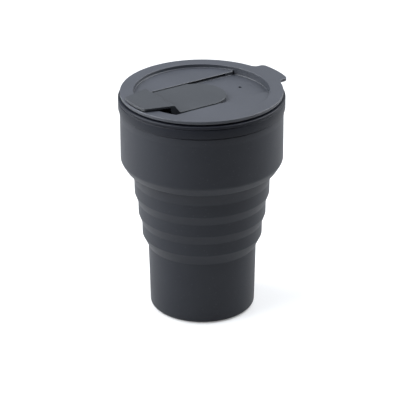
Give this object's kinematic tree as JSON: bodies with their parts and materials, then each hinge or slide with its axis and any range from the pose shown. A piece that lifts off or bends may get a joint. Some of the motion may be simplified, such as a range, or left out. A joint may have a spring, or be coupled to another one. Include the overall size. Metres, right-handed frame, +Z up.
{
  "type": "collapsible travel cup",
  "caption": "Tall cup that folds down in stepped silicone bands, with a hard mouth collar and a press-in lid with a lift tab and a sliding sip closure.",
  "frame": {"origin": "centre of the flat underside of the base", "axes": "+Z up along the cup's axis; +Y towards the lid's lift tab, so the sip hole is at -Y; +X to the right seen from the sip side"},
  "size_m": [0.0922, 0.0967, 0.1316],
  "materials": {
    "silicone": "matt moulded silicone, dark slate grey",
    "collar_plastic": "satin polypropylene, darker slate grey",
    "lid_plastic": "satin polypropylene with a fine texture, slate grey",
    "seal_rubber": "soft silicone seal, near black"
  },
  "bodies": {
    "base": {"base_section": "silicone", "web_base": "silicone"},
    "lower_band": {"fold_ring_lower": "silicone", "web_lower": "silicone"},
    "middle_band": {"fold_ring_middle": "silicone", "web_middle": "silicone"},
    "upper_band": {"fold_ring_upper": "silicone", "web_upper": "silicone"},
    "bowl": {"upper_section": "silicone", "collar_band": "collar_plastic", "rim_ring": "collar_plastic"},
    "lid_body": {"lid": "lid_plastic", "lid_seal": "seal_rubber"},
    "slider_body": {"slider": "lid_plastic", "slider_seal": "seal_rubber"}
  },
  "joints": [
    {"name": "base_fold", "type": "slide", "parent": "base", "child": "lower_band", "axis": [0, 0, -1], "range_m": [0, 0.0135], "deforming": ["web_base"]},
    {"name": "lower_fold", "type": "slide", "parent": "lower_band", "child": "middle_band", "axis": [0, 0, -1], "range_m": [0, 0.011], "deforming": ["web_lower"]},
    {"name": "middle_fold", "type": "slide", "parent": "middle_band", "child": "upper_band", "axis": [0, 0, -1], "range_m": [0, 0.011], "deforming": ["web_middle"]},
    {"name": "bowl_fold", "type": "slide", "parent": "upper_band", "child": "bowl", "axis": [0, 0, -1], "range_m": [0, 0.016], "deforming": ["web_upper"]},
    {"name": "lid_lift", "type": "slide", "parent": "bowl", "child": "lid_body", "axis": [0, 0, 1], "range_m": [0, 0.03]},
    {"name": "slider_slide", "type": "slide", "parent": "lid_body", "child": "slider_body", "axis": [0, 1, 0], "range_m": [0, 0.02]}
  ]
}
